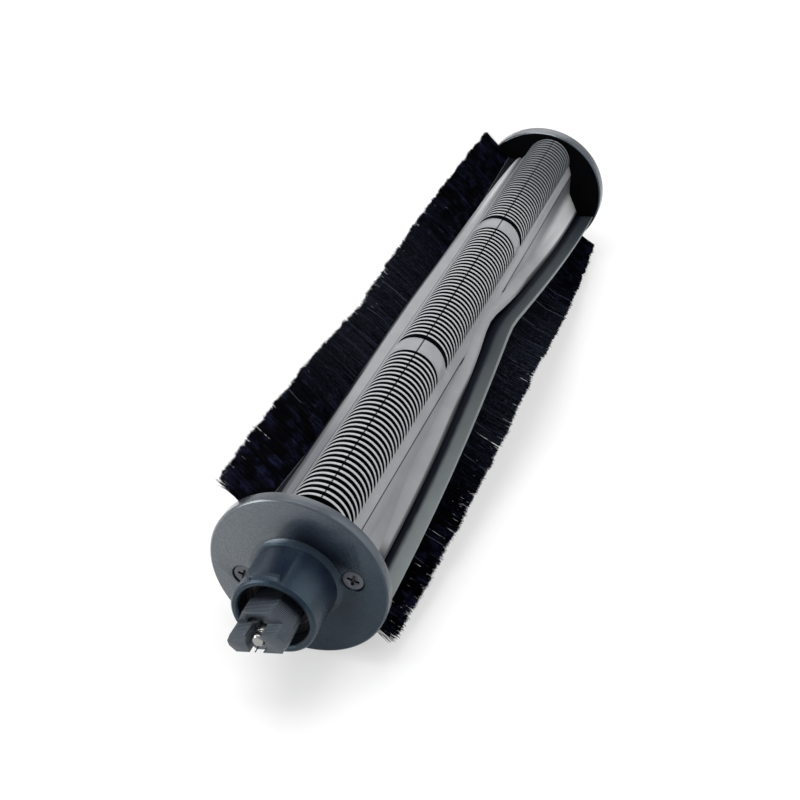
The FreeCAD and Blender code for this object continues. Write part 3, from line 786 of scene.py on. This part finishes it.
# A groove round every screw head, bumped in and darkened with painted shade. The second screw of an
# end lies half a turn from the first.
cap_hand = cap_x.maths("SIGN", cap_x)
cap_rings = []
for end_sign, screw_x, screw_z in screw_places:
    screw_far = span(cap_x * cap_hand - screw_x, cap_z * cap_hand - screw_z)
    cap_rings.append(screw_far.fade(*ring_distance) * (cap_y * end_sign).fade(*ring_reach))
in_ring = cap_rings[0].larger(cap_rings[1])
cap_coat = cap_painted_sheen * ((1 - in_ring) * cap_grain.between(*cap_coat_shares))
paint(cap_shader, {
    "Base Color": (in_ring * ring_share).tint(cap_tone, cap_shade_black),
    "Roughness": cap_grain.between(*cap_roughness),
    "IOR": 1.6,
    "Specular IOR Level": 0.29,
    "Specular Tint": cap_gloss_blue,
    "Coat Weight": cap_coat,
    "Coat Roughness": 0.2,
    "Coat IOR": 2.0,
    "Normal": (cap_grain - in_ring * ring_depth).bump(cap_relief),
})

# Painted shade: the discs' faces turned towards the core get a near black finish of their own.
inner_shade_black = (0.0006, 0.0007, 0.0010, 1.0)
inner_shade_black_mottle = (0.0016, 0.0018, 0.0024, 1.0)
inner_cloud_size = 0.0010
inner_margin = 0.0002
inner_facing = 0.9

inner_shade_finish, inner_shader, inner_place = new_finish("painted_shade_black")
paint(inner_shader, {
    "Base Color": inner_place.noise(inner_cloud_size).tint(inner_shade_black, inner_shade_black_mottle),
    "Roughness": 0.7,
    "Specular IOR Level": 0.03,
})


def curved_bar():
    """The collar's raised bar: a rounded block, cut across and bent round the collar."""
    bpy.ops.object.select_all(action="DESELECT")
    bpy.ops.mesh.primitive_cube_add(size=1.0, scale=collar_bar_size)
    bpy.ops.object.transform_apply(location=True, rotation=True, scale=True)
    bar = bpy.context.object
    round_edges(bar, collar_bar_edge, segments=3)
    for edge in bar.data.edges:
        first, second = (bar.data.vertices[end].co.x for end in edge.vertices)
        edge.select = abs(first - second) > collar_bar_size[0] / 2
    bpy.ops.object.mode_set(mode="EDIT")
    bpy.ops.mesh.select_mode(type="EDGE")
    bpy.ops.mesh.subdivide(number_cuts=collar_bar_cuts)
    bpy.ops.mesh.select_mode(type="VERT")
    bpy.ops.object.mode_set(mode="OBJECT")
    for vertex in bar.data.vertices:
        reach = collar_radius + vertex.co.z
        angle = collar_bar_turn + vertex.co.x / collar_radius
        place = collar_bar_place + vertex.co.y
        vertex.co = (reach * math.sin(angle), place, reach * math.cos(angle))
    return bar


for node, name in (("idle_end_cap", "idle_disc_and_collar"), ("drive_end_cap", "drive_disc_and_peg")):
    cap = merged_copy(node, name)
    round_edges(cap, cap_edge)
    if node == "idle_end_cap":
        collar_bar = curved_bar()
        pick(cap)
        collar_bar.select_set(True)
        bpy.ops.object.join()
    finish_with(cap, cap_finish, "roller")
    cap.data.materials.append(inner_shade_finish)
    # Faces turned towards the core take the painted shade finish.
    for face in cap.data.polygons:
        inward = -face.normal.y if face.center.y > 0.0 else face.normal.y
        within = abs(face.center.y - body_middle) < half_length + inner_margin
        if inward > inner_facing and within:
            face.material_index = 1


# Cap screws
# Blackened steel, countersunk, with a cross recess painted dark inside as shade. Two of them hold
# each end cap to the core.

head_top = 0.0908
idle_head_step = 0.0013
cross_depth = (0.00006, 0.00022)
screw_black = (0.05, 0.056, 0.068, 1.0)
screw_worn = (0.12, 0.13, 0.15, 1.0)
# Painted shade inside the cross recess.
cross_shade_black = (0.002, 0.002, 0.004, 1.0)
screw_cloud_size = 0.0004
screw_metallic = 0.6
screw_edge = 0.00007

screw_finish, screw_shader, screw_place = new_finish("blackened_screw_steel")
screw_y = screw_place.axis("Y")
at_idle_end = screw_y.maths("LESS_THAN", screw_y, 0.0)
screw_out = abs(screw_y - body_middle) + at_idle_end * idle_head_step
in_cross = screw_out.fade(head_top - cross_depth[0], head_top - cross_depth[1])
screw_clean = screw_place.noise(screw_cloud_size).tint(screw_black, screw_worn)
paint(screw_shader, {
    "Base Color": in_cross.tint(screw_clean, cross_shade_black),
    "Metallic": (1 - in_cross) * screw_metallic,
    "Roughness": 0.34,
})

for end in ("idle", "drive"):
    screws = merged_copy(end + "_cap_screws", end + "_countersunk_screws")
    round_edges(screws, screw_edge)
    finish_with(screws, screw_finish, "roller")


# Bearing block
# Dark slate acetal, moulded six-sided and flattened, with a slot and a stepped nose. It stays still
# in the vacuum's seat while the roller turns. Fine ridges run across its facets.

block_slate = (0.014, 0.018, 0.026, 1.0)
block_slate_light = (0.032, 0.038, 0.048, 1.0)
block_gloss_blue = (0.80, 0.93, 1.0, 1.0)
block_grain_size = 0.0002
block_relief = 0.00006
ridge_pitch = 0.00036
ridge_share = 0.5
block_edge = 0.00018

block_finish, block_shader, block_place = new_finish("ridged_block_plastic")
block_grain = block_place.noise(block_grain_size)
block_y = block_place.axis("Y")
block_ridges = block_y.maths("SINE", block_y * (2 * math.pi / ridge_pitch))
paint(block_shader, {
    "Base Color": block_grain.tint(block_slate, block_slate_light),
    "Roughness": 0.26,
    "Specular IOR Level": 0.7,
    "Specular Tint": block_gloss_blue,
    "Normal": (block_ridges * ridge_share + block_grain).bump(block_relief),
})

bearing_block = merged_copy("idle_bearing_block", "bearing_block_body")
round_edges(bearing_block, block_edge)
finish_with(bearing_block, block_finish, "bearing_block")


# Axle pin and bearing
# The pin is bright ground steel. The small ball bearing, its snap ring, washer and clip sit deep
# in the collar, and they and the bearing's shields are toned dark as painted shade.

pin_edge = 0.00006
pin_steel_dark = (0.16, 0.16, 0.16, 1.0)
pin_steel_bright = (0.40, 0.40, 0.39, 1.0)
pin_mark_size = 0.0002
pin_mark_stretch = (1.0, 0.2, 1.0)
pin_mark_depth = 0.000004

pin_finish, pin_shader, pin_place = new_finish("bright_pin_steel")
pin_marks = pin_place.noise(pin_mark_size, stretch=pin_mark_stretch)
paint(pin_shader, {
    "Base Color": pin_marks.tint(pin_steel_dark, pin_steel_bright),
    "Metallic": 1.0,
    "Roughness": 0.22,
    "Normal": pin_marks.bump(pin_mark_depth),
})

pin = merged_copy("axle_pin", "bright_axle_pin")
round_edges(pin, pin_edge)
finish_with(pin, pin_finish, "bearing_block")

bearing_cloud_size = 0.0005
# Steel toned dark as painted shade deep in the collar.
bearing_steel_shade_dark = (0.10, 0.10, 0.105, 1.0)
bearing_steel_shade_light = (0.16, 0.16, 0.165, 1.0)
spring_shade_black = (0.006, 0.006, 0.008, 1.0)
spring_shade_black_mottle = (0.014, 0.014, 0.017, 1.0)
cage_brass_dark = (0.62, 0.46, 0.22, 1.0)
cage_brass_bright = (0.72, 0.56, 0.28, 1.0)


def dress(nodes, name, low, high, looks):
    """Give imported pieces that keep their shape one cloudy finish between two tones."""
    material, shader, place = new_finish(name)
    paint(shader, {"Base Color": place.noise(bearing_cloud_size).tint(low, high), **looks})
    for node in nodes:
        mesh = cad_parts[node].data
        mesh.materials.clear()
        mesh.materials.append(material)


dress(
    ("bearing_outer_ring", "bearing_inner_ring", "bearing_balls", "axle_washer", "axle_clip"),
    "bearing_steel_painted_shade", bearing_steel_shade_dark, bearing_steel_shade_light,
    {"Metallic": 1.0, "Roughness": 0.3},
)
dress(
    ("bearing_retaining_ring", "bearing_shields"),
    "spring_steel_painted_shade", spring_shade_black, spring_shade_black_mottle,
    {"Specular IOR Level": 0.2, "Roughness": 0.45},
)
dress(
    ("bearing_cage",),
    "pressed_cage_brass", cage_brass_dark, cage_brass_bright,
    {"Metallic": 1.0, "Roughness": 0.35},
)
